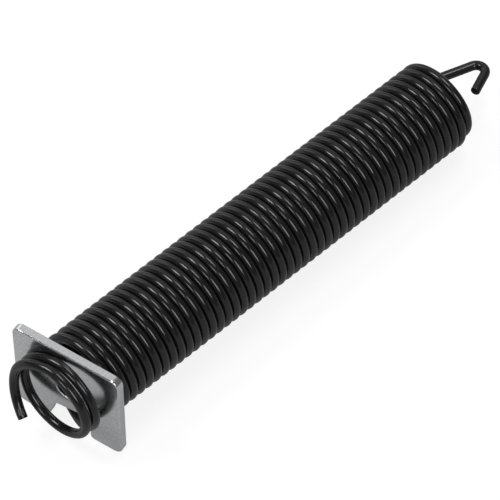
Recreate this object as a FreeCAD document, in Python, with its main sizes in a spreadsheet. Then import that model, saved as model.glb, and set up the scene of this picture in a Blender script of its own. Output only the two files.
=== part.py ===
"""Door hinge spring: a close-wound wire spring hung on a threaded tension plate.

Frame in millimetres: origin in the middle of the threaded hole, on the front face
of the plate; +X runs along the coil towards the hook, +Z is up, +Y is to the left
of somebody who looks along +X. Angles round the coil start at its underside and
grow towards the left, so that the coil advances along +X with them.
"""
import FreeCAD, Part
import math
import os

import Sketcher
from FreeCAD import Placement, Rotation, Vector

doc = FreeCAD.newDocument("DoorHingeSpring")

# Sizes of the spring
sheet = doc.addObject("Spreadsheet::Sheet", "Sizes")
SIZES = [
    ("wire_dia", "3.0", "diameter of the round wire"),
    ("coil_mean_dia", "26.2", "diameter of the coil at the middle of the wire"),
    ("coil_pitch", "3.11", "advance of the coil in one turn"),
    ("coil_turns", "45.6", "turns of the plain coil behind the plate"),
    ("seat_gap", "0.15", "clearance between the wire and the plate it bears on"),
    ("turn_gap", "0.12", "clearance between two turns that lie on each other"),
    ("plate_width", "37.0", "side of the square plate, across"),
    ("plate_height", "37.0", "side of the square plate, upright"),
    ("plate_thickness", "2.7", "thickness of the plate"),
    ("plate_corner", "3.0", "radius of the plate's corners"),
    ("plate_edge", "0.4", "rounding of the plate's outer rim"),
    ("plate_skew_angle", "13.7", "turn of the plate about the upright, in degrees"),
    ("plate_drop", "2.3", "height of the coil's axis above the threaded hole"),
    ("hole_dia", "7.19", "bore of the hole at the middle of its thread"),
    ("notch_mouth", "14.8", "width of the wire notch at the lower rim"),
    ("notch_left", "4.75", "reach of the notch's top to the left of the hole"),
    ("notch_right", "7.2", "reach of the notch's top to the right of the hole"),
    ("notch_left_height", "8.35", "height of the notch's left side above the lower rim"),
    ("notch_right_height", "10.2", "height of the notch's right side above the lower rim"),
    ("notch_corner", "1.0", "rounding of the notch's upper corners"),
    ("notch_lip", "1.5", "rounding of the notch's corners at the lower rim"),
    ("wire_dip", "1.0", "how far the wire swings out of the coil's round to pass the notch"),
    ("dip_angle", "6.0", "angle round the coil at which the wire dips lowest, in degrees"),
    ("dip_span_angle", "85.0", "reach of the dip to both sides, in degrees"),
    ("pass_in_angle", "30.0", "reach of the wire's pass in front of the notch, in degrees"),
    ("pass_out_angle", "22.0", "reach of the wire's pass behind the notch, in degrees"),
    ("tail_angle", "331.0", "wire left in front of the last turn's start, in degrees"),
    ("tail_reach", "8.6", "clearance of the wire's front tip from the plate"),
    ("curl_angle", "209.0", "part of the last turn that curls in to the hook, in degrees"),
    ("curl_dia", "17.6", "diameter to which the last turn curls in"),
    ("hook_root_run", "2.6", "run of the bend where the last turn leaves for the hook"),
    ("hook_leg", "24.7", "length of the hook's leg to the corner of its bend"),
    ("hook_lean_angle", "20.3", "lean of the leg towards the axis, in degrees"),
    ("hook_bend", "2.9", "bend radius of the hook at the middle of the wire"),
    ("hook_turn_angle", "137.0", "turn of the wire in the hook's bend, in degrees"),
    ("hook_return", "15.1", "length of the hook's return from the corner of its bend"),
]
for row, (alias, value, note) in enumerate(SIZES, start=1):
    sheet.set("A%d" % row, note)
    sheet.set("B%d" % row, value)
    sheet.setAlias("B%d" % row, alias)
doc.recompute()


def size(alias):
    """A named size from the sheet."""
    return float(sheet.get(alias))


wire_r = size("wire_dia") / 2.0
coil_r = size("coil_mean_dia") / 2.0
pitch = size("coil_pitch")
axis_z = size("plate_drop")
skew = math.radians(size("plate_skew_angle"))
seat = wire_r + size("seat_gap")
on_turn = (size("wire_dia") + size("turn_gap")) / math.cos(skew)


# Where the wire may lie beside the skewed plate
def wire_round(angle):
    """Radius of the wire's way round the axis, which grows where it dips under the notch's top."""
    share = min(abs(angle - size("dip_angle")) / size("dip_span_angle"), 1.0)
    return coil_r + size("wire_dip") * (1.0 - share * share * (3.0 - 2.0 * share))


def across(angle):
    """Place of the wire across the coil, to the left, at an angle round it."""
    return wire_round(angle) * math.sin(math.radians(angle))


def front_seat(angle):
    """X at which the wire bears on the front of the plate."""
    return (-seat - across(angle) * math.sin(skew)) / math.cos(skew)


def back_seat(angle):
    """X at which the wire bears on the back of the plate."""
    return (size("plate_thickness") + seat - across(angle) * math.sin(skew)) / math.cos(skew)


def coil_x(angle):
    """X of the plain coil, whose first turn bears on the plate's back at the right."""
    return back_seat(270.0) + pitch * (angle - 270.0) / 360.0


def round_coil(x, angle, radius):
    """Point at an angle round the coil's axis."""
    turn = math.radians(angle)
    return Vector(x, radius * math.sin(turn), axis_z - radius * math.cos(turn))


# How far the two front turns stand clear of the plate, from the tail to the notch:
# angle, turns that lie between, and the rest in diameters of the wire
pass_in = size("pass_in_angle")
pass_out = size("pass_out_angle")
turn_start = -360.0
tail_end = turn_start - size("tail_angle")
STAND_CLEAR = [
    (-660.0, 1, 0.80),
    (-630.0, 1, 0.17),
    (-600.0, 1, 0.0),
    (-570.0, 1, 0.0),
    (-555.0, 1, 0.0),
    (-540.0, 1, 0.03),
    (-495.0, 1, 0.60),
    (-450.0, 1, 0.83),
    (-405.0, 1, 0.67),
    (turn_start, 1, 0.17),
    (-315.0, 0, 0.57),
    (-270.0, 0, 0.0),
    (-247.5, 0, 0.0),
    (-225.0, 0, 0.0),
    (-202.5, 0, 0.0),
    (-180.0, 0, 0.03),
    (-135.0, 0, 0.53),
    (-90.0, 0, 0.77),
    (-pass_in - 26.0, 0, 0.50),
    (-pass_in, 0, 0.05),
]
lay = [(tail_end, front_seat(tail_end) - size("tail_reach"))]
for angle, between, rest in STAND_CLEAR:
    lay.append((angle, front_seat(angle) - between * on_turn - rest * size("wire_dia")))

# Behind the plate the wire eases from the notch into the plain coil
join_angle = 225.0
lag = coil_x(pass_out) - back_seat(pass_out)
for share in (0.0, 0.2, 0.4, 0.6, 0.8, 1.0):
    angle = pass_out + share * (join_angle - pass_out)
    lay.append((angle, coil_x(angle) - lag * (1.0 - share) ** 2))
coil_start = 360.0
for angle in (270.0, 315.0, coil_start, coil_start + 45.0):
    lay.append((angle, coil_x(angle)))


def lay_x(angle):
    """X of the wire at an angle: a cubic between knots whose slopes join smoothly."""
    knot = 0
    while knot < len(lay) - 2 and angle > lay[knot + 1][0]:
        knot += 1
    slopes = []
    for k in (knot, knot + 1):
        before = lay[max(k - 1, 0)]
        after = lay[min(k + 1, len(lay) - 1)]
        slopes.append((after[1] - before[1]) / (after[0] - before[0]))
    (a0, x0), (a1, x1) = lay[knot], lay[knot + 1]
    span = a1 - a0
    s = (angle - a0) / span
    rise = x1 - x0
    bend_in = slopes[0] * span - rise
    bend_out = rise - slopes[1] * span
    return x0 + s * rise + s * (1.0 - s) * ((1.0 - s) * bend_in + s * bend_out)


# Path of the wire in front of the plate and through its notch
STEP = 12.0
SPARE = 5


def spaced(start, end, first):
    """Angles from start to end in even steps, from step first on to spare ones past the end."""
    count = int(math.ceil((end - start) / STEP))
    return [start + (end - start) * k / count for k in range(first, count + 1 + SPARE)], count


front_angles, front_count = spaced(tail_end, coil_start, 0)
front_points = [round_coil(lay_x(angle), angle, wire_round(angle)) for angle in front_angles]
front_curve = Part.BSplineCurve()
front_curve.interpolate(front_points)

# Plain coil
helix = doc.addObject("Part::Helix", "CoilPath")
helix.setExpression("Radius", "Sizes.coil_mean_dia / 2")
helix.setExpression("Pitch", "Sizes.coil_pitch")
helix.setExpression("Height", "Sizes.coil_pitch * Sizes.coil_turns")
helix.SegmentLength = 1.0
helix.Placement = Placement(Vector(coil_x(coil_start), 0, axis_z), Rotation(Vector(0, 1, 0), 90))
doc.recompute()

# The last turn curls in towards the axis
curl_start = coil_start + 360.0 * size("coil_turns")
curl_angle = size("curl_angle")
curl_r = size("curl_dia") / 2.0
curl_end = curl_start + curl_angle
curl_angles, curl_count = spaced(curl_start, curl_end, -SPARE)
curl_points = []
for angle in curl_angles:
    share = min(max((angle - curl_start) / curl_angle, 0.0), 1.0)
    ease = share * share * (3.0 - 2.0 * share)
    curl_points.append(round_coil(coil_x(angle), angle, coil_r + (curl_r - coil_r) * ease))
curl_curve = Part.BSplineCurve()
curl_curve.interpolate(curl_points)


def travel(angle, radius):
    """Direction of the wire round the coil at an angle."""
    turn = math.radians(angle)
    way = Vector(pitch / (2.0 * math.pi), radius * math.cos(turn), radius * math.sin(turn))
    return way.normalize()


# Hook: root bend, leaning leg, open bend and return
def bend(corner, way_in, way_out, radius):
    """Round bend at a corner between two directions: its arc, start and end."""
    half = way_in.getAngle(way_out) / 2.0
    run = radius * math.tan(half)
    start = corner - way_in * run
    end = corner + way_out * run
    to_middle = (way_out - way_in).normalize()
    middle = corner + to_middle * (radius / math.cos(half) - radius)
    return Part.Arc(start, middle, end), start, end


root_way = travel(curl_end, curl_r)
curl_tip = curl_points[SPARE + curl_count]
root_corner = curl_tip + root_way * size("hook_root_run")
outward = Vector(0, root_corner.y, root_corner.z - axis_z).normalize()
lean = math.radians(size("hook_lean_angle"))
leg_way = Vector(math.cos(lean), 0, 0) - outward * math.sin(lean)
back = lean + math.radians(size("hook_turn_angle"))
return_way = Vector(math.cos(back), 0, 0) - outward * math.sin(back)
root_bend = size("hook_root_run") / math.tan(root_way.getAngle(leg_way) / 2.0)
root_arc, root_start, leg_start = bend(root_corner, root_way, leg_way, root_bend)
hook_corner = root_corner + leg_way * size("hook_leg")
hook_arc, leg_end, return_start = bend(hook_corner, leg_way, return_way, size("hook_bend"))
hook_tip = hook_corner + return_way * size("hook_return")

# One wire, bent from end to end
path = doc.addObject("Part::Feature", "WirePath")
path_edges = []
for k in range(0, front_count, 8):
    begin = front_curve.parameter(front_points[k])
    end = front_curve.parameter(front_points[min(k + 8, front_count)])
    path_edges.append(front_curve.toShape(begin, end))
path_edges += helix.Shape.Edges
path_edges += [
    curl_curve.toShape(
        curl_curve.parameter(curl_points[SPARE]), curl_curve.parameter(curl_tip)),
    root_arc.toShape(),
    Part.LineSegment(leg_start, leg_end).toShape(),
    hook_arc.toShape(),
    Part.LineSegment(return_start, hook_tip).toShape(),
]
path.Shape = Part.Wire(path_edges)

section = doc.addObject("Part::Circle", "WireSection")
section.setExpression("Radius", "Sizes.wire_dia / 2")
section.Placement = Placement(front_points[0], Rotation(Vector(0, 0, 1), front_curve.tangent(
    front_curve.FirstParameter)[0]))

spring = doc.addObject("Part::Sweep", "Spring")
spring.Label = "spring_coil"
spring.Sections = [section]
spring.Spine = (path, ["Edge%d" % (k + 1) for k in range(len(path.Shape.Edges))])
spring.Solid = True
spring.Frenet = False
doc.recompute()

# Tension plate: a pressed square with a threaded hole and a notch for the wire
plate = doc.addObject("PartDesign::Body", "Plate")
plate.Label = "tension_plate"


def origin_plane(body, role):
    """One of the base planes of a body."""
    return [item for item in body.Origin.OriginFeatures if item.Role == role][0]


def flat_sketch(body, name):
    """Sketch on the plane of the plate's front face: across, then up."""
    sketch = body.newObject("Sketcher::SketchObject", name)
    sketch.AttachmentSupport = [(origin_plane(body, "YZ_Plane"), "")]
    sketch.MapMode = "FlatFace"
    return sketch


def chain(sketch, corners):
    """Closed outline of straight lines through corners."""
    count = len(corners)
    for k in range(count):
        start = Vector(corners[k][0], corners[k][1], 0)
        end = Vector(corners[(k + 1) % count][0], corners[(k + 1) % count][1], 0)
        sketch.addGeometry(Part.LineSegment(start, end), False)
    for k in range(count):
        sketch.addConstraint(Sketcher.Constraint("Coincident", k, 2, (k + 1) % count, 1))


def measure(sketch, name, formula, *rule):
    """Dimension of a sketch that follows a formula of the named sizes."""
    index = sketch.addConstraint(Sketcher.Constraint(*rule))
    sketch.renameConstraint(index, name)
    sketch.setExpression("Constraints." + name, formula)


half_w = size("plate_width") / 2.0
half_h = size("plate_height") / 2.0
outline = flat_sketch(plate, "PlateOutline")
chain(outline, [(-half_w, -half_h), (half_w, -half_h), (half_w, half_h), (-half_w, half_h)])
for line, rule in ((0, "Horizontal"), (1, "Vertical"), (2, "Horizontal"), (3, "Vertical")):
    outline.addConstraint(Sketcher.Constraint(rule, line))
outline.addConstraint(Sketcher.Constraint("Symmetric", 0, 1, 1, 2, -1, 1))
measure(outline, "width", "Sizes.plate_width", "DistanceX", 0, 1, 0, 2, 2.0 * half_w)
measure(outline, "height", "Sizes.plate_height", "DistanceY", 1, 1, 1, 2, 2.0 * half_h)

slab = plate.newObject("PartDesign::Pad", "PlateSlab")
slab.Profile = outline
slab.setExpression("Length", "Sizes.plate_thickness")
doc.recompute()

# Notch under a slanted top, open at the lower rim
half_mouth = size("notch_mouth") / 2.0
left_top = size("notch_left_height") - half_h
right_top = size("notch_right_height") - half_h
notch_sketch = flat_sketch(plate, "NotchOutline")
chain(notch_sketch, [
    (-half_mouth, -half_h),
    (half_mouth, -half_h),
    (size("notch_left"), left_top),
    (-size("notch_right"), right_top),
])
notch_sketch.addConstraint(Sketcher.Constraint("Symmetric", 0, 1, 0, 2, -2))
measure(notch_sketch, "mouth", "Sizes.notch_mouth", "DistanceX", 0, 1, 0, 2, 2.0 * half_mouth)
measure(notch_sketch, "rim", "Sizes.plate_height / 2", "DistanceY", 0, 2, -1, 1, half_h)
measure(notch_sketch, "left", "Sizes.notch_left", "DistanceX", -1, 1, 1, 2, size("notch_left"))
measure(notch_sketch, "right", "Sizes.notch_right", "DistanceX", 3, 1, -1, 1, size("notch_right"))
measure(notch_sketch, "left_height", "Sizes.notch_left_height",
        "DistanceY", 1, 1, 1, 2, left_top + half_h)
measure(notch_sketch, "right_height", "Sizes.notch_right_height",
        "DistanceY", 3, 2, 3, 1, right_top + half_h)
notch = plate.newObject("PartDesign::Pocket", "WireNotch")
notch.Profile = notch_sketch
notch.Type = "ThroughAll"
notch.Midplane = True
doc.recompute()

# Bore of the threaded hole
bore_sketch = flat_sketch(plate, "BoreOutline")
bore_sketch.addGeometry(Part.Circle(Vector(0, 0, 0), Vector(0, 0, 1), size("hole_dia") / 2.0), False)
bore_sketch.addConstraint(Sketcher.Constraint("Coincident", 0, 3, -1, 1))
measure(bore_sketch, "bore", "Sizes.hole_dia", "Diameter", 0, size("hole_dia"))
bore = plate.newObject("PartDesign::Pocket", "Bore")
bore.Profile = bore_sketch
bore.Type = "ThroughAll"
bore.Midplane = True
doc.recompute()


# Rounded corners of the square and of the notch, then the rolled outer rim
def thickness_edges(feature, chosen):
    """Names of the straight edges that run through the plate, chosen by place."""
    names = []
    for index, edge in enumerate(feature.Shape.Edges):
        ends = [vertex.Point for vertex in edge.Vertexes]
        if len(ends) == 2 and abs(ends[0].x - ends[1].x) > 0.9 * size("plate_thickness"):
            if edge.Curve.TypeId == "Part::GeomLine" and chosen(ends[0]):
                names.append("Edge%d" % (index + 1))
    return names


def at_corner(point):
    """Whether a point is on one of the square's corners."""
    return abs(point.y) > 0.9 * half_w


def at_notch_top(point):
    """Whether a point is on one of the notch's upper corners."""
    return abs(point.y) < 0.9 * half_w and -0.9 * half_h < point.z < 0.0


def at_notch_lip(point):
    """Whether a point is on one of the notch's corners at the lower rim."""
    return abs(point.y) < 0.9 * half_w and point.z < -0.9 * half_h


corners = plate.newObject("PartDesign::Fillet", "SquareCorners")
corners.Base = (bore, thickness_edges(bore, at_corner))
corners.setExpression("Radius", "Sizes.plate_corner")
doc.recompute()
notch_corners = plate.newObject("PartDesign::Fillet", "NotchCorners")
notch_corners.Base = (corners, thickness_edges(corners, at_notch_top))
notch_corners.setExpression("Radius", "Sizes.notch_corner")
doc.recompute()
notch_lip = plate.newObject("PartDesign::Fillet", "NotchLip")
notch_lip.Base = (notch_corners, thickness_edges(notch_corners, at_notch_lip))
notch_lip.setExpression("Radius", "Sizes.notch_lip")
doc.recompute()


def rim_edges(feature):
    """Names of the edges round the outline of the front and back faces."""
    names = []
    shape = feature.Shape
    for face_x in (0.0, size("plate_thickness")):
        for face in shape.Faces:
            box = face.BoundBox
            flat = abs(box.XMin - face_x) < 0.01 and abs(box.XMax - face_x) < 0.01
            if flat and box.YLength > half_w:
                for edge in face.OuterWire.Edges:
                    for index, other in enumerate(shape.Edges):
                        if other.isSame(edge):
                            names.append("Edge%d" % (index + 1))
    return names


rim = plate.newObject("PartDesign::Fillet", "RolledRim")
rim.Base = (notch_lip, rim_edges(notch_lip))
rim.setExpression("Radius", "Sizes.plate_edge")
plate.Tip = rim
plate.Placement = Placement(Vector(0, 0, 0), Rotation(Vector(0, 0, 1), size("plate_skew_angle")))
doc.recompute()

# Every feature is sound before anything is written
for item in doc.Objects:
    if "Invalid" in item.State or "Error" in item.State:
        raise RuntimeError("%s did not build: %s" % (item.Label, item.State))
os.makedirs("parts", exist_ok=True)
for item in (spring, plate):
    if item.Shape.isNull() or not item.Shape.isValid() or len(item.Shape.Solids) != 1:
        raise RuntimeError("%s is not one sound solid" % item.Label)
    item.Shape.exportStep("parts/%s.step" % item.Label)
    box = item.Shape.BoundBox
    print("%s: %.1f mm3, x %.2f..%.2f, y %.2f..%.2f, z %.2f..%.2f" % (
        item.Label, item.Shape.Volume, box.XMin, box.XMax, box.YMin, box.YMax, box.ZMin, box.ZMax))
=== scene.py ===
# %% [markdown]
# # A door hinge spring
#
# A heavy appliance door is balanced by a strong pull spring. One black coated wire is wound
# turn against turn. At the far end it is bent to a hook, and at the near end it passes through
# the notch of a square zinc plated plate and goes round twice more in front of it. A screw in
# the plate's threaded hole draws the spring tight.
#
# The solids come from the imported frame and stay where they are. This lesson dresses them: it
# draws the wire and the plate again as smooth surfaces in the same place, adds the ridges of
# the thread, gives both metals their finish, and lights them as in the photograph.

# %% Load the frame
import math

import bpy
import numpy as np
from mathutils import Matrix, Vector
from mathutils.geometry import delaunay_2d_cdt


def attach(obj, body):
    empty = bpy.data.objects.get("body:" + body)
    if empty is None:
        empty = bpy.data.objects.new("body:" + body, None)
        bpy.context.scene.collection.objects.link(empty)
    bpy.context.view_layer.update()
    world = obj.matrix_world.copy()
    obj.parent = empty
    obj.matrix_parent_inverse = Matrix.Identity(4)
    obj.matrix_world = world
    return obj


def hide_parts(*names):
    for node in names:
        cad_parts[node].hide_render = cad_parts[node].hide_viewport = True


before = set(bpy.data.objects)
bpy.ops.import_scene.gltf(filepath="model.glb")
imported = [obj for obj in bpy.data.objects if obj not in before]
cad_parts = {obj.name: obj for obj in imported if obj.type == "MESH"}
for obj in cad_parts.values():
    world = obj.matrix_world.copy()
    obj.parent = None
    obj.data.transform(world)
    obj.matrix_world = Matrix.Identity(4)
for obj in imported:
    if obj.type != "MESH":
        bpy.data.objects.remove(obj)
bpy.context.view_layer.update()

# Millimetres in a metre
MM = 1000.0
print("nodes:", sorted(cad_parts))

# %% [markdown]
# ## Sizes
#
# The sizes repeat the named sizes of the part's source. They are in millimetres here, because
# a spring maker thinks in millimetres, and become metres where a mesh is made. X runs along
# the coil from the plate to the hook, and angles round the coil start at its underside.

# %% Sizes in millimetres and degrees
WIRE_R = 1.5
COIL_R = 13.1
PITCH = 3.11
COIL_TURNS = 45.6
AXIS_Z = 2.3
SKEW = math.radians(13.7)
PLATE_T = 2.7
SEAT_GAP, TURN_GAP = 0.15, 0.12
SEAT = WIRE_R + SEAT_GAP
ON_TURN = (2.0 * WIRE_R + TURN_GAP) / math.cos(SKEW)
DIP, DIP_ANGLE, DIP_SPAN = 1.0, 6.0, 85.0
FULL_TURN, RIGHT_SIDE = 360.0, 270.0
X_AXIS = np.array([1.0, 0.0, 0.0])


def wire_round(angle):
    """Radius of the wire's way round the axis: the coil's, and more where it dips to pass the
    notch, by one less a smooth step of the distance from the lowest angle."""
    s = np.clip(np.abs(angle - DIP_ANGLE) / DIP_SPAN, 0.0, 1.0)
    return COIL_R + DIP * (1.0 - s * s * (3.0 - 2.0 * s))


def seat_x(angle, face):
    """X where wire bears on a skewed face: the face's own place, less the skew's share across."""
    across = wire_round(angle) * np.sin(np.radians(angle))
    return (face - across * math.sin(SKEW)) / math.cos(SKEW)


def coil_x(angle):
    """X of the plain coil: one pitch for each whole turn, from the plate's back at the right."""
    return seat_x(RIGHT_SIDE, PLATE_T + SEAT) + PITCH * (angle - RIGHT_SIDE) / FULL_TURN


print("first plain turn at x = %.2f mm" % coil_x(FULL_TURN))

# %% [markdown]
# ## The wire's path
#
# The path could be drawn by hand as a curve with some thousand points. It is easier to trust
# as formulas. In front of the plate a short table says how far the wire stands clear of the
# plate at some angles, and a smooth cubic runs through those places. The coil is a plain helix.
# The last turn curls in, and the hook is made of straight runs and round bends.

# %% Lay of the wire beside the plate
# Each row: angle, turns that lie between the wire and the plate, the rest in wire diameters
STAND_CLEAR = np.array([
    (-691.0, 0, 2.867), (-660.0, 1, 0.80), (-630.0, 1, 0.17), (-600.0, 1, 0.0), (-570.0, 1, 0.0),
    (-555.0, 1, 0.0), (-540.0, 1, 0.03), (-495.0, 1, 0.60), (-450.0, 1, 0.83), (-405.0, 1, 0.67),
    (-360.0, 1, 0.17), (-315.0, 0, 0.57), (-270.0, 0, 0.0), (-247.5, 0, 0.0), (-225.0, 0, 0.0),
    (-202.5, 0, 0.0), (-180.0, 0, 0.03), (-135.0, 0, 0.53), (-90.0, 0, 0.77), (-56.0, 0, 0.50),
    (-30.0, 0, 0.05),
])
clear = STAND_CLEAR[:, 1] * ON_TURN + STAND_CLEAR[:, 2] * 2.0 * WIRE_R
# Behind the plate the wire eases from the notch into the plain coil between two angles
PASS_ANGLE, JOIN_ANGLE, EASE_KNOTS = 22.0, 225.0, 6
PLAIN_ANGLE = np.array([270.0, 315.0, 360.0, 405.0])
share = np.linspace(0.0, 1.0, EASE_KNOTS)
ease_angle = PASS_ANGLE + share * (JOIN_ANGLE - PASS_ANGLE)
lag = coil_x(PASS_ANGLE) - seat_x(PASS_ANGLE, PLATE_T + SEAT)
KNOT_ANGLE = np.concatenate([STAND_CLEAR[:, 0], ease_angle, PLAIN_ANGLE])
KNOT_X = np.concatenate([
    seat_x(STAND_CLEAR[:, 0], -SEAT) - clear,
    coil_x(ease_angle) - lag * (1.0 - share) ** 2,
    coil_x(PLAIN_ANGLE),
])


def lay_x(angle):
    """X of the wire at angles: between two knots a cubic, whose slope at each knot is that of
    the line through the knots before and after it."""
    last = len(KNOT_ANGLE) - 1
    near = np.arange(last + 1)
    before, after = np.maximum(near - 1, 0), np.minimum(near + 1, last)
    slope = (KNOT_X[after] - KNOT_X[before]) / (KNOT_ANGLE[after] - KNOT_ANGLE[before])
    k = np.clip(np.searchsorted(KNOT_ANGLE, angle) - 1, 0, last - 1)
    span = KNOT_ANGLE[k + 1] - KNOT_ANGLE[k]
    rise = KNOT_X[k + 1] - KNOT_X[k]
    s = (angle - KNOT_ANGLE[k]) / span
    bend_in = slope[k] * span - rise
    bend_out = rise - slope[k + 1] * span
    return KNOT_X[k] + s * rise + s * (1.0 - s) * ((1.0 - s) * bend_in + s * bend_out)


def round_coil(x, angle, radius):
    """Points at angles round the coil's axis: left by the sine, down by the cosine."""
    turn = np.radians(angle)
    return np.stack([x + 0.0 * turn, radius * np.sin(turn), AXIS_Z - radius * np.cos(turn)], 1)


# Degrees from one point of the path to the next
STEP = 6.0
front_steps = int((FULL_TURN - KNOT_ANGLE[0]) / STEP)
front = np.linspace(KNOT_ANGLE[0], FULL_TURN, front_steps + 1)
front_run = round_coil(lay_x(front), front, wire_round(front))
print("front turns: %d points" % len(front_run))

# %% The plain coil and its last turn
curl_start = FULL_TURN + FULL_TURN * COIL_TURNS
plain = np.arange(FULL_TURN, curl_start, STEP)[1:]
plain_run = round_coil(coil_x(plain), plain, COIL_R)
CURL_ANGLE, CURL_R, CURL_POINTS = 209.0, 8.8, 40
curl_share = np.linspace(0.0, 1.0, CURL_POINTS)
curl = curl_start + curl_share * CURL_ANGLE
curl_ease = curl_share ** 2 * (3.0 - 2.0 * curl_share)
curl_run = round_coil(coil_x(curl), curl, COIL_R + (CURL_R - COIL_R) * curl_ease)
print("plain coil: %d points, last turn: %d" % (len(plain_run), len(curl_run)))


# %% The hook
def unit(v):
    """A direction of length one."""
    return v / np.linalg.norm(v)


def bend(corner, way_in, way_out, radius, count):
    """Round bend at a corner: points on the arc that touches both ways, turned step by step
    from the first radius to the last about the bend's middle."""
    turn = math.acos(float(np.dot(way_in, way_out)))
    run = radius * math.tan(turn / 2.0)
    start = corner - way_in * run
    inward = unit(way_out - way_in * np.dot(way_in, way_out))
    step = np.linspace(0.0, turn, count)[:, None]
    return start + radius * (np.sin(step) * way_in + (1.0 - np.cos(step)) * inward)


ROOT_RUN, LEG, LEAN = 2.6, 24.7, math.radians(20.3)
HOOK_BEND, HOOK_TURN, HOOK_RETURN = 2.9, math.radians(137.0), 15.1
ROOT_POINTS, BEND_POINTS, RUN_POINTS = 20, 36, 12
tip_turn = math.radians(curl[-1])
root_way = unit(np.array([
    PITCH / math.tau, CURL_R * math.cos(tip_turn), CURL_R * math.sin(tip_turn)]))
root_corner = curl_run[-1] + root_way * ROOT_RUN
outward = unit(root_corner * (0.0, 1.0, 1.0) - np.array([0.0, 0.0, AXIS_Z]))
leg_way = math.cos(LEAN) * X_AXIS - math.sin(LEAN) * outward
back_way = math.cos(LEAN + HOOK_TURN) * X_AXIS - math.sin(LEAN + HOOK_TURN) * outward
root_bend = ROOT_RUN / math.tan(math.acos(float(np.dot(root_way, leg_way))) / 2.0)
hook_corner = root_corner + leg_way * LEG
hook_tip = hook_corner + back_way * HOOK_RETURN
root_arc = bend(root_corner, root_way, leg_way, root_bend, ROOT_POINTS)
hook_arc = bend(hook_corner, leg_way, back_way, HOOK_BEND, BEND_POINTS)
run_share = np.linspace(0.0, 1.0, RUN_POINTS)[1:, None]
leg_run = root_arc[-1] + run_share[:-1] * (hook_arc[0] - root_arc[-1])
back_run = hook_arc[-1] + run_share * (hook_tip - hook_arc[-1])
wire_path = np.concatenate([
    front_run, plain_run, curl_run, root_arc[1:], leg_run, hook_arc, back_run])
print("hook's tip at", np.round(hook_tip, 2), "mm; the whole path has %d points" % len(wire_path))

# %% [markdown]
# ## From a path to a wire
#
# A curve with a round bevel would do for the wire, but a mesh has an even grid, a map of its
# own length and girth, and cut ends. Each path point carries a ring of points. The ring's first
# direction is square to both the wire and the coil's axis, and since the wire never runs along
# the axis, the grid can't twist. The two ends are sheared off with a small burr radius.


# %% Grids become meshes
def grid_faces(rows, columns):
    """Corner numbers of each four-sided face of a grid whose columns close round: a point, the
    one in the next row, and the same two in the next column, backwards."""
    row, column = np.arange(rows - 1)[:, None], np.arange(columns)[None, :]
    after = (column + 1) % columns
    corners = [row * columns + column, (row + 1) * columns + column,
               (row + 1) * columns + after, row * columns + after]
    return np.stack([np.broadcast_to(c, (rows - 1, columns)) for c in corners], 2).reshape(-1, 4)


def make_piece(name, points_mm, faces, caps=()):
    """Object at the origin from points in millimetres and four-sided faces, smooth shaded.
    A cap is a flat shaded face with any number of sides."""
    mesh = bpy.data.meshes.new(name)
    mesh.from_pydata((points_mm / MM).tolist(), [], faces.tolist() + [c.tolist() for c in caps])
    mesh.polygons.foreach_set("use_smooth", np.arange(len(mesh.polygons)) < len(faces))
    mesh.validate()
    mesh.update()
    piece = bpy.data.objects.new(name, mesh)
    bpy.context.scene.collection.objects.link(piece)
    return piece


def volume_mm3(points, faces):
    """Signed volume of a closed grid: a sixth of the triple products of its triangles."""
    a, b, c, d = (points[faces[:, k]] for k in range(4))
    return float((np.cross(a, b) * c + np.cross(a, c) * d).sum() / 6.0)


def tube_faces(points, rows, columns):
    """Faces and end caps of a closed tube, all turned outward: where the volume of the tube
    comes out negative, each of them is read backwards."""
    faces = grid_faces(rows, columns)
    caps = [np.arange(columns), (rows - 1) * columns + np.arange(columns)[::-1]]
    if volume_mm3(points, faces) < 0.0:
        faces, caps = faces[:, ::-1], [cap[::-1] for cap in caps]
    return faces, caps


print("a grid of 3 rows and 4 columns has %d faces" % len(grid_faces(3, 4)))


# %% The spring's wire
ROUND = 24
BURR = 0.3
# Angles on the burr's quarter round where the closing rings stand
CLOSING = np.radians([90.0, 55.0, 20.0])


def wire_rings(path):
    """Rings round a path: centre, plus the radius times cosine and sine along two directions
    square to the wire. Three closing rings at each end draw in by a quarter round."""
    way = np.gradient(path, axis=0)
    way /= np.linalg.norm(way, axis=1, keepdims=True)
    end_r = WIRE_R - BURR + BURR * np.cos(CLOSING)
    ahead = BURR * np.sin(CLOSING) - BURR
    first = path[0] - way[0] * ahead[:, None]
    last = path[-1] + way[-1] * ahead[::-1, None]
    count = len(CLOSING)
    centres = np.concatenate([first, path[1:-1], last])
    ways = np.concatenate([
        np.repeat(way[:1], count, 0), way[1:-1], np.repeat(way[-1:], count, 0)])
    radii = np.concatenate([end_r, np.full(len(path) - 2, WIRE_R), end_r[::-1]])
    side = np.cross(X_AXIS, ways)
    side /= np.linalg.norm(side, axis=1, keepdims=True)
    other = np.cross(ways, side)
    turn = np.linspace(0.0, math.tau, ROUND, endpoint=False)[None, :, None]
    ring = np.cos(turn) * side[:, None, :] + np.sin(turn) * other[:, None, :]
    points = centres[:, None, :] + radii[:, None, None] * ring
    run = np.concatenate([[0.0], np.cumsum(np.linalg.norm(np.diff(centres, axis=0), axis=1))])
    return points, run


rings, run_mm = wire_rings(wire_path)
wire_points = rings.reshape(-1, 3)
wire_faces, wire_caps = tube_faces(wire_points, len(rings), ROUND)
wire = make_piece("spring_wire", wire_points, wire_faces, wire_caps)
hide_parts("spring_coil")
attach(wire, "root")
print("wire: %.0f mm long, %d faces, %.0f mm3" % (
    run_mm[-1], len(wire_faces), volume_mm3(wire_points, wire_faces)))

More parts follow.
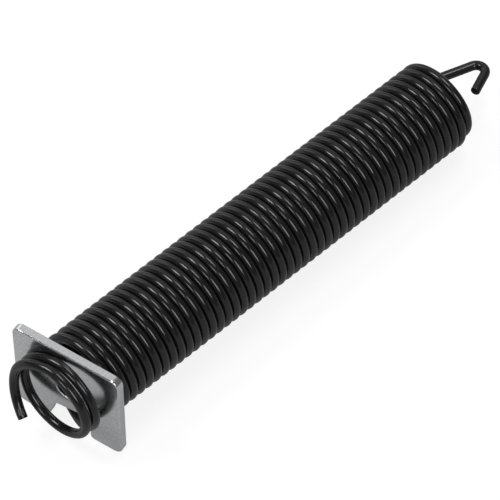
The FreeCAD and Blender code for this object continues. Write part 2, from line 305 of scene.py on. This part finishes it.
# %% A map along the wire
corner_row, corner_column = wire_faces // ROUND, wire_faces % ROUND
wraps = (corner_column.max(1) - corner_column.min(1))[:, None] > 1
girth = (corner_column + ROUND * (wraps & (corner_column == 0))) * (math.tau * WIRE_R / ROUND)
wire_map = wire.data.uv_layers.new(name="along_wire")
flat_uv = np.zeros((len(wire.data.loops), 2), np.float32)
flat_uv[:wire_faces.size, 0] = run_mm[corner_row].ravel()
flat_uv[:wire_faces.size, 1] = girth.ravel()
wire_map.data.foreach_set("uv", flat_uv.ravel())
print("map: %.0f by %.2f mm" % (flat_uv[:, 0].max(), flat_uv[:, 1].max()))

# %% [markdown]
# ## The tension plate
#
# The plate is stamped from sheet: a square with rounded corners, a threaded hole, and a notch
# in its lower rim that lets the wire through. Two grids and two fills make its skin. One grid
# runs round the outline and leads the front face over the rolled rim to the rear, the other
# leads it through the hole. The flat faces between them are filled with triangles. Two lines
# close to each edge hold the shading of its rounding there.


# %% Outline of the plate
def rounded_outline(table):
    """Closed outline through corners: each corner becomes an arc that touches both sides, and
    each straight run after it gets its own number of points. Also gives the outward normals."""
    corners = np.array([row[:2] for row in table])
    arcs, points, normals = [], [], []
    for k, (_, _, radius, arc_count, _) in enumerate(table):
        before = unit(corners[k] - corners[k - 1])
        after = unit(corners[(k + 1) % len(corners)] - corners[k])
        cross = before[0] * after[1] - before[1] * after[0]
        turn = math.atan2(cross, float(np.dot(before, after)))
        start = corners[k] - before * radius * math.tan(abs(turn) / 2.0)
        left = np.array([-before[1], before[0]]) * math.copysign(1.0, turn)
        step = np.linspace(0.0, abs(turn), arc_count)[:, None]
        arc = start + radius * (np.sin(step) * before + (1.0 - np.cos(step)) * left)
        way = np.cos(step) * before + np.sin(step) * left
        arcs.append((arc, np.stack([way[:, 1], -way[:, 0]], 1)))
    for k, (arc, out) in enumerate(arcs):
        following, run_count = arcs[(k + 1) % len(arcs)][0][0], table[k][-1]
        step = np.linspace(0.0, 1.0, run_count + 2)[1:-1, None]
        points += [arc, arc[-1] + step * (following - arc[-1])]
        normals += [out, np.repeat(out[-1:], run_count, 0)]
    return np.concatenate(points), np.concatenate(normals)


HALF, MOUTH = 18.5, 7.4
CORNER, LIP, NOTCH_CORNER = 3.0, 1.5, 1.0
# Each row: across to the left, up, rounding, points of its arc, points of the run after it
OUTLINE_TABLE = [
    (4.75, -10.15, NOTCH_CORNER, 9, 10), (MOUTH, -HALF, LIP, 9, 10),
    (HALF, -HALF, CORNER, 13, 30), (HALF, HALF, CORNER, 13, 30),
    (-HALF, HALF, CORNER, 13, 30), (-HALF, -HALF, CORNER, 13, 10),
    (-MOUTH, -HALF, LIP, 9, 12), (-7.2, -8.3, NOTCH_CORNER, 9, 14),
]
outline, outline_normal = rounded_outline(OUTLINE_TABLE)
COLUMNS = len(outline)
across_mm, up_mm = np.ptp(outline, axis=0)
print("outline: %d points, across %.2f, up %.2f mm" % (COLUMNS, across_mm, up_mm))


# %% Section of the plate
EDGE_STEPS = 6


def edge_section(wall, edge, far, near):
    """Stations from the front face to the rear: two lines on the flat, a quarter round, two
    lines on the wall, a quarter round and two lines again. Each is a pair: an inset from the
    outline or a radius round the hole, and the depth behind the front face."""
    q = np.linspace(0.0, math.pi / 2.0, EDGE_STEPS)
    flat = wall + edge
    return np.concatenate([
        [(flat + far, 0.0), (flat + near, 0.0)],
        np.stack([wall + edge * (1.0 - np.sin(q)), edge * (1.0 - np.cos(q))], 1),
        [(wall, edge + near), (wall, PLATE_T - edge - near)],
        np.stack([wall + edge * (1.0 - np.cos(q)), PLATE_T - edge + edge * np.sin(q)], 1),
        [(flat + near, PLATE_T), (flat + far, PLATE_T)],
    ])


BORE_R, ENTRY, RIM = 3.595, 0.35, 0.4
# How far beyond the rounding the two lines on the flat lie
RIM_LINES, HOLE_LINES = (0.15, 0.07), (0.16, 0.08)
over_rim = edge_section(0.0, RIM, *RIM_LINES)
through_hole = edge_section(BORE_R, ENTRY, *HOLE_LINES)
print("section: %d stations over the rim, %d through the hole" % (len(over_rim), len(through_hole)))


# %% Places on the plate
def with_depth(stations, flat):
    """Depth, across and up: each flat line gets the depth of its station."""
    depth = np.broadcast_to(stations[:, 1, None, None], flat.shape[:2] + (1,))
    return np.concatenate([depth, flat], 2)


HOLE_COLUMNS = 96


def round_hole(stations):
    """Circles round the hole: radius times cosine across and sine up."""
    turn = np.linspace(0.0, math.tau, HOLE_COLUMNS, endpoint=False)
    ring = np.stack([np.cos(turn), np.sin(turn)], 1)
    return with_depth(stations, stations[:, 0, None, None] * ring)


def round_rim(stations):
    """The outline drawn in by an inset along its normals."""
    return with_depth(stations, outline - stations[:, 0, None, None] * outline_normal)


def on_plate(local):
    """From depth, across and up on the plate to the frame: a turn by the skew about the upright."""
    depth, across, up = local[..., 0], local[..., 1], local[..., 2]
    return np.stack([depth * math.cos(SKEW) - across * math.sin(SKEW),
                     depth * math.sin(SKEW) + across * math.cos(SKEW), up], -1)


rim_grid, hole_grid = round_rim(over_rim), round_hole(through_hole)
plate_points = on_plate(np.concatenate([rim_grid.reshape(-1, 3), hole_grid.reshape(-1, 3)]))
print("plate: %d points" % len(plate_points))

# %% The flat faces
# The fill keeps to the inside of the outer line, and joins points closer than this in mm
INSIDE_LINES, SAME_PLACE = 1, 1e-5


def flat_fill(outer, inner, first_outer, first_inner, to_rear):
    """Triangles of the flat ring between two closed lines, as even as the lines allow: those
    with all corners on the inner line would close the hole, and go. All are turned to the front
    or all to the rear by the sign of their area. The numbers tell where each line starts."""
    flat = np.concatenate([outer, inner])[:, 1:]
    place = np.arange(len(flat))
    after = np.concatenate([np.roll(place[:len(outer)], -1), np.roll(place[len(outer):], -1)])
    lines = np.stack([place, after], 1).tolist()
    _, _, corners, sources, _, _ = delaunay_2d_cdt(
        flat.tolist(), lines, [], INSIDE_LINES, SAME_PLACE)
    triangle = np.array(sources)[:, 0][np.array(corners)]
    triangle = triangle[(triangle < len(outer)).any(1)]
    a, b, c = (flat[triangle[:, k]] for k in range(3))
    area = (b - a)[:, 0] * (c - a)[:, 1] - (b - a)[:, 1] * (c - a)[:, 0]
    triangle = np.where(((area > 0.0) == to_rear)[:, None], triangle, triangle[:, ::-1])
    number = np.concatenate([
        first_outer + np.arange(len(outer)), first_inner + np.arange(len(inner))])
    return number[triangle]


hole_start = len(rim_grid) * COLUMNS
rim_rear, hole_rear = hole_start - COLUMNS, len(plate_points) - HOLE_COLUMNS
plate_flats = np.concatenate([
    flat_fill(rim_grid[0], hole_grid[0], 0, hole_start, False),
    flat_fill(rim_grid[-1], hole_grid[-1], rim_rear, hole_rear, True)])
print("flat faces: %d triangles" % len(plate_flats))

# %% The plate's surface
plate_faces = np.concatenate([
    grid_faces(len(rim_grid), COLUMNS)[:, ::-1],
    grid_faces(len(hole_grid), HOLE_COLUMNS) + hole_start])
plate = make_piece("zinc_plate", plate_points, plate_faces, plate_flats)
# Burnished all round the rim, but for the two lines that lie on each flat face
on_flat = 2 * COLUMNS
burnish = np.zeros(len(plate_points), np.float32)
burnish[on_flat:hole_start - on_flat] = 1.0
plate.data.attributes.new("burnished_rim", "FLOAT", "POINT").data.foreach_set("value", burnish)
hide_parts("tension_plate")
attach(plate, "root")
skin = np.concatenate([plate_faces, plate_flats[:, [0, 1, 2, 2]]])
print("plate: %d faces, %.0f mm3" % (len(skin), volume_mm3(plate_points, skin)))

# %% [markdown]
# ## The thread
#
# The solid has a plain bore at the middle of the thread. The half of each ridge that stands
# inside it shows as two bright arcs, so it is drawn: a small trapezoid carried along a helix,
# 1.25 mm for each turn, and let down into the wall at both ends as a tap leaves it.

# %% Ridges of the thread
THREAD_PITCH, CREST_R, SUNK_R, THREAD_TURNS = 1.25, 3.3235, 3.67, 1.5
# Half the ridge's width in the wall, at its shoulder and on its crest, and the shoulder's drop
FOOT, SHOULDER, CREST, DROP = 0.36, 0.18, 0.13, 0.04
ridge = np.array([
    (SUNK_R, -FOOT), (CREST_R + DROP, -SHOULDER), (CREST_R, -CREST),
    (CREST_R, CREST), (CREST_R + DROP, SHOULDER), (SUNK_R, FOOT)])
# Where the thread starts: depth in mm and angle round the hole in radians
START_DEPTH, START_TURN = 0.42, 1.1
# At both ends the ridge rises within a part of a turn, from a least height and width
RISE_TURNS, LEAST_HEIGHT, LEAST_WIDTH = 0.2, 0.03, 0.4
THREAD_POINTS = 160
wound = np.linspace(0.0, THREAD_TURNS, THREAD_POINTS)[:, None]
rising = np.clip(np.minimum(wound, THREAD_TURNS - wound) / RISE_TURNS, LEAST_HEIGHT, 1.0)
widening = LEAST_WIDTH + (1.0 - LEAST_WIDTH) * rising
thread_r = SUNK_R - (SUNK_R - ridge[None, :, 0]) * rising
thread_depth = START_DEPTH + THREAD_PITCH * wound + ridge[None, :, 1] * widening
thread_turn = math.tau * wound + START_TURN + 0.0 * thread_r
thread_grid = on_plate(np.stack(
    [thread_depth, thread_r * np.cos(thread_turn), thread_r * np.sin(thread_turn)], 2))
thread_points = thread_grid.reshape(-1, 3)
thread_faces, thread_caps = tube_faces(thread_points, len(wound), len(ridge))
thread = make_piece("hole_thread", thread_points, thread_faces, thread_caps)
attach(thread, "root")
print("thread: %d faces" % len(thread_faces))

# %% [markdown]
# ## Finishes
#
# Two finishes make this part. The wire is dipped in black stoving enamel, which flows out
# glossy, with a faint unevenness left from the drawn wire below it. The plate is bright zinc
# on pressed steel: pale, slightly blue, cloudy from the bath, and smoother where the rim was
# rolled. Colours are written as they look on a screen, and one function turns them to the
# linear values that the shaders work in. A picture could hold these patterns, but noise at a
# size in millimetres has no seams and stays sharp at any distance.


# %% Colours and nodes
def linear(hex_colour):
    """Linear colour from a screen colour: the lower part divided, the upper part to the 2.4."""
    c = np.array([int(hex_colour[k:k + 2], 16) for k in (1, 3, 5)]) / 255.0
    low = c <= 0.04045
    return (*np.where(low, c / 12.92, ((c + 0.055) / 1.055) ** 2.4).tolist(), 1.0)


def add(tree, kind, inputs=None, **settings):
    """Adds one node. An input is a value, or another node's output to link."""
    node = tree.nodes.new(kind)
    for name, value in settings.items():
        setattr(node, name, value)
    for name, value in (inputs or {}).items():
        if isinstance(value, bpy.types.NodeSocket):
            tree.links.new(value, node.inputs[name])
        else:
            node.inputs[name].default_value = value
    return node


def start_material(name):
    """New material, and its node tree with nothing in it yet."""
    material = bpy.data.materials.new(name)
    material.use_nodes = True
    material.node_tree.nodes.clear()
    return material, material.node_tree


print("half grey on a screen is %.3f in linear light" % linear("#808080")[0])

# %% Black stoving enamel on drawn wire
# Enamel over wire shows sharp highlights on a deep black. The highlight wavers a little along
# each turn, because the coat is thicker in some places, and fine lines run along the wire.
enamel, tree = start_material("black_stoving_enamel")
place = add(tree, "ShaderNodeTexCoord")
along = add(tree, "ShaderNodeUVMap", uv_map="along_wire")
# Cloudy thickness of the coat, about 9 mm across
cloud = add(tree, "ShaderNodeTexNoise", {
    "Vector": place.outputs["Object"], "Scale": MM / 9.0, "Detail": 3.0})
shade = add(tree, "ShaderNodeMix", {
    "Factor": cloud.outputs["Fac"],
    "A": linear("#101011"), "B": linear("#1a1a1c")}, data_type="RGBA")
# Drawing lines, 0.35 mm apart round the wire and some 30 mm long
stretch = add(tree, "ShaderNodeMapping", {
    "Vector": along.outputs["UV"], "Scale": (1.0 / 30.0, 1.0 / 0.35, 1.0)})
lines = add(tree, "ShaderNodeTexNoise", {
    "Vector": stretch.outputs["Vector"], "Scale": 1.0, "Detail": 2.0})
# Waviness of the coat, about 2.5 mm across
waves = add(tree, "ShaderNodeTexNoise", {
    "Vector": place.outputs["Object"], "Scale": MM / 2.5, "Detail": 1.0})
# The thicker coat is a little less glossy
gloss = add(tree, "ShaderNodeMapRange", {
    "Value": cloud.outputs["Fac"],
    "From Min": 0.3, "From Max": 0.7, "To Min": 0.14, "To Max": 0.22})
# Waves 0.06 mm and lines 0.02 mm deep, both weakened
wavy = add(tree, "ShaderNodeBump", {
    "Height": waves.outputs["Fac"], "Strength": 0.35, "Distance": 0.06 / MM})
lined = add(tree, "ShaderNodeBump", {
    "Height": lines.outputs["Fac"], "Strength": 0.25, "Distance": 0.02 / MM,
    "Normal": wavy.outputs["Normal"]})
coat = add(tree, "ShaderNodeBsdfPrincipled", {
    "Base Color": shade.outputs["Result"], "Roughness": gloss.outputs["Result"],
    "Normal": lined.outputs["Normal"], "IOR": 1.5})
add(tree, "ShaderNodeOutputMaterial", {"Surface": coat.outputs["BSDF"]})
wire.data.materials.append(enamel)
print("finish:", enamel.name)

# %% Bright zinc on pressed steel
# Zinc is a soft mirror: it shows the floor and the wire, blurred. The bath leaves it cloudy
# and finely grained, and the rolled rim is smoother, with the marks of the shear across it.
zinc, tree = start_material("bright_zinc_plating")
place = add(tree, "ShaderNodeTexCoord")
rim = add(tree, "ShaderNodeAttribute", attribute_name="burnished_rim")
# Clouds of the bath, about 5 mm across
bath = add(tree, "ShaderNodeTexNoise", {
    "Vector": place.outputs["Object"], "Scale": MM / 5.0, "Detail": 4.0})
# Fine crystals of the plating, drawn 0.6 mm across so that they show
spangle = add(tree, "ShaderNodeTexNoise", {
    "Vector": place.outputs["Object"], "Scale": MM / 0.6, "Detail": 2.0})
# Shear marks of the rim, 0.35 mm apart along it and some 6 mm long through the sheet
sheared = add(tree, "ShaderNodeMapping", {
    "Vector": place.outputs["Object"], "Scale": (MM / 6.0, MM / 0.35, MM / 0.35)})
marks = add(tree, "ShaderNodeTexNoise", {
    "Vector": sheared.outputs["Vector"], "Scale": 1.0, "Detail": 2.0})
# On the rim the marks take half of the crystals' place
rim_share = add(tree, "ShaderNodeMath", {0: rim.outputs["Fac"], 1: 0.5}, operation="MULTIPLY")
grain = add(tree, "ShaderNodeMix", {
    "Factor": rim_share.outputs[0], "A": spangle.outputs["Fac"], "B": marks.outputs["Fac"]})
contrast = add(tree, "ShaderNodeMapRange", {
    "Value": grain.outputs["Result"], "From Min": 0.32, "From Max": 0.68})
cloudy = add(tree, "ShaderNodeMix", {
    "Factor": bath.outputs["Fac"],
    "A": linear("#d4d7da"), "B": linear("#dddfe2")}, data_type="RGBA")
pale = add(tree, "ShaderNodeMix", {
    "Factor": contrast.outputs["Result"],
    "A": cloudy.outputs["Result"], "B": linear("#f5f5f6")}, data_type="RGBA")
matt = add(tree, "ShaderNodeMapRange", {
    "Value": bath.outputs["Fac"],
    "From Min": 0.3, "From Max": 0.7, "To Min": 0.16, "To Max": 0.24})
smoother = add(tree, "ShaderNodeMix", {
    "Factor": rim.outputs["Fac"], "A": matt.outputs["Result"], "B": 0.1})
# Grain 0.03 mm deep, much weakened
pitted = add(tree, "ShaderNodeBump", {
    "Height": grain.outputs["Result"], "Strength": 0.08, "Distance": 0.03 / MM})
metal = add(tree, "ShaderNodeBsdfPrincipled", {
    "Base Color": pale.outputs["Result"], "Metallic": 1.0, "Roughness": smoother.outputs["Result"],
    "Normal": pitted.outputs["Normal"]})
add(tree, "ShaderNodeOutputMaterial", {"Surface": metal.outputs["BSDF"]})
plate.data.materials.append(zinc)
thread.data.materials.append(zinc)
print("finish:", zinc.name)

# %% [markdown]
# ## The floor
#
# The spring lies on both feet of the plate and on its far turns, so the floor is the plane
# through these three places, tipped by two and a half degrees in this frame. It is one sheet of
# paper. To the camera it glows nearly white and its lit part adds the rest, so a faint shadow
# stays. The metal mirrors the glow too, but dimmer, because the plate in the photograph is grey
# where it mirrors the floor.

# %% Floor that carries the spring
FOOT_Y, FAR_TURN_X = HALF - CORNER, 148.0
foot_left, foot_right = on_plate(np.array([
    (PLATE_T - RIM, FOOT_Y, -HALF), (PLATE_T - RIM, -FOOT_Y, -HALF)]))
far_turn = np.array([FAR_TURN_X, 0.0, AXIS_Z - COIL_R - WIRE_R])
upright = unit(np.cross(foot_left - far_turn, foot_right - far_turn))
GAP = 0.03
FLOOR_REACH = 4000.0
floor_x, floor_y = np.array([(-1.0, -1.0), (1.0, -1.0), (1.0, 1.0), (-1.0, 1.0)]).T * FLOOR_REACH
level = np.dot(upright, far_turn) - upright[0] * floor_x - upright[1] * floor_y
floor_z = level / upright[2] - GAP
floor = make_piece("floor", np.stack([floor_x, floor_y, floor_z], 1), np.arange(4)[None, :])
print("floor tipped by %.2f degrees" % math.degrees(math.acos(upright[2])))

# %% White paper
# Paper is matt: it takes the light evenly and shows a soft shadow.
paper, tree = start_material("white_paper_floor")
path_kind = add(tree, "ShaderNodeLightPath")
CAMERA_GLOW, MIRROR_GLOW = 0.82, 0.17
to_camera = add(tree, "ShaderNodeMath", {
    0: path_kind.outputs["Is Camera Ray"], 1: CAMERA_GLOW}, operation="MULTIPLY")
mirror_ray = add(tree, "ShaderNodeMath", {
    0: path_kind.outputs["Is Glossy Ray"],
    1: path_kind.outputs["Is Transmission Ray"]}, operation="MAXIMUM")
glow = add(tree, "ShaderNodeMath", {
    0: mirror_ray.outputs[0], 1: MIRROR_GLOW, 2: to_camera.outputs[0]}, operation="MULTIPLY_ADD")
lit = add(tree, "ShaderNodeBsdfDiffuse", {"Color": linear("#8a8a8a")})
shine = add(tree, "ShaderNodeEmission", {"Strength": glow.outputs[0]})
both = add(tree, "ShaderNodeAddShader", {0: lit.outputs["BSDF"], 1: shine.outputs["Emission"]})
add(tree, "ShaderNodeOutputMaterial", {"Surface": both.outputs["Shader"]})
floor.data.materials.append(paper)
print("finish:", paper.name)

# %% [markdown]
# ## Light and camera
#
# A glossy black wire is seen almost only by what it mirrors. So the camera comes first, and
# each soft box is placed by the streak it should make: an angle round the coil and an angle
# round the wire give the surface's normal, and the mirrored line of sight points to the lamp.
# Its length and width follow from the streak's. The room is paler at the back left, as the
# upper edge of the plate shows, and darker at the right.

# %% Camera
SIGHT = Vector((0.393, 0.4192, -0.8184)).normalized()
view = bpy.data.cameras.new("photo_view")
view.lens, view.sensor_width = 257.8, 36.0
view.shift_x, view.shift_y = -0.001, 0.001
view.clip_start, view.clip_end = 0.05, 20.0
camera = bpy.data.objects.new("photo_view", view)
camera.location = (-0.3445, -0.4448, 0.8685)
camera.rotation_euler = SIGHT.to_track_quat("-Z", "Y").to_euler()
bpy.context.scene.collection.objects.link(camera)
bpy.context.scene.camera = camera
bpy.context.scene.view_settings.view_transform = "Standard"
print("camera at", tuple(round(c, 3) for c in camera.location))


# %% Soft boxes
def mirrored_sight(coil_angle, wire_angle):
    """Where the camera looks by the wire's surface: the sight, less twice its part along the
    normal. The normal is the outward way at an angle round the coil, tipped along the axis."""
    turn, tip = math.radians(coil_angle), math.radians(wire_angle)
    normal = Vector((
        math.sin(tip), math.cos(tip) * math.sin(turn), -math.cos(tip) * math.cos(turn)))
    return SIGHT - 2.0 * SIGHT.dot(normal) * normal


COIL_MIDDLE = Vector((0.08, 0.0, 0.002))


def hang_lamp(name, way, run, wide, glow, distance):
    """Elliptical lamp in a direction from the coil's middle, facing it. Its long axis is as
    long as the run, which is a difference of directions. A lamp's power is its glow times its
    area times pi."""
    lamp = bpy.data.lights.new(name, "AREA")
    lamp.shape = "ELLIPSE"
    lamp.size, lamp.size_y = run.length * distance, wide * distance
    lamp.energy = glow * (lamp.size * lamp.size_y * math.pi / 4.0) * math.pi
    box = bpy.data.objects.new(name, lamp)
    side = (run - run.dot(way) * way).normalized()
    box.rotation_euler = Matrix((side, way.cross(side), way)).transposed().to_euler()
    box.location = COIL_MIDDLE + way * distance
    bpy.context.scene.collection.objects.link(box)
    toward = tuple(round(c, 2) for c in way)
    print("%s: %.2f by %.2f m toward" % (name, lamp.size, lamp.size_y), toward)


BOX_DISTANCE = 1.0


def soft_box(name, coil_angle, wire_angle, long, wide, glow):
    """Lamp for a streak that is so many degrees long round the coil and wide round the wire."""
    along, across = long / 2.0, wide / 2.0
    run = (mirrored_sight(coil_angle + along, wire_angle)
           - mirrored_sight(coil_angle - along, wire_angle))
    rise = (mirrored_sight(coil_angle, wire_angle + across)
            - mirrored_sight(coil_angle, wire_angle - across))
    hang_lamp(name, mirrored_sight(coil_angle, wire_angle), run, rise.length, glow, BOX_DISTANCE)


# Each row: name, angle round the coil and round the wire, length and width in degrees, glow
SOFT_BOXES = [
    ("box_left_front", 178.6, -27.0, 12.5, 10.5, 10.0),
    ("box_overhead", 193.5, -6.0, 14.0, 8.0, 7.5),
    ("box_front", 204.0, -42.0, 12.0, 8.0, 5.5),
    ("box_right", 219.0, -21.5, 19.0, 12.0, 5.0),
]
for box_row in SOFT_BOXES:
    soft_box(*box_row)
# A strip at the left reaches from a low direction to a high one
STRIP_LOW, STRIP_HIGH = Vector((-0.08, 0.99, -0.05)), Vector((0.25, 0.80, 0.55))
STRIP_WIDE, STRIP_GLOW, STRIP_DISTANCE = 0.5, 0.68, 1.2
hang_lamp("strip_left", (STRIP_LOW + STRIP_HIGH).normalized(), STRIP_HIGH - STRIP_LOW,
          STRIP_WIDE, STRIP_GLOW, STRIP_DISTANCE)

# %% The room's own light
world = bpy.data.worlds.new("studio")
bpy.context.scene.world = world
world.use_nodes = True
tree = world.node_tree
tree.nodes.clear()
BACK_LEFT, SPOT_POWER = (0.50, 0.50, 0.707), 6.0
ROOM_DARK, ROOM_PALE = 0.14, 0.66
direction = add(tree, "ShaderNodeTexCoord")
toward_back_left = add(tree, "ShaderNodeVectorMath", {
    0: direction.outputs["Generated"], 1: BACK_LEFT}, operation="DOT_PRODUCT")
near_half = add(tree, "ShaderNodeMath", {
    0: toward_back_left.outputs["Value"], 1: 0.0}, operation="MAXIMUM")
soft_spot = add(tree, "ShaderNodeMath", {
    0: near_half.outputs[0], 1: SPOT_POWER}, operation="POWER")
room = add(tree, "ShaderNodeMapRange", {
    "Value": soft_spot.outputs[0], "To Min": ROOM_DARK, "To Max": ROOM_PALE})
air = add(tree, "ShaderNodeBackground", {
    "Color": linear("#ffffff"), "Strength": room.outputs["Result"]})
add(tree, "ShaderNodeOutputWorld", {"Surface": air.outputs["Background"]})
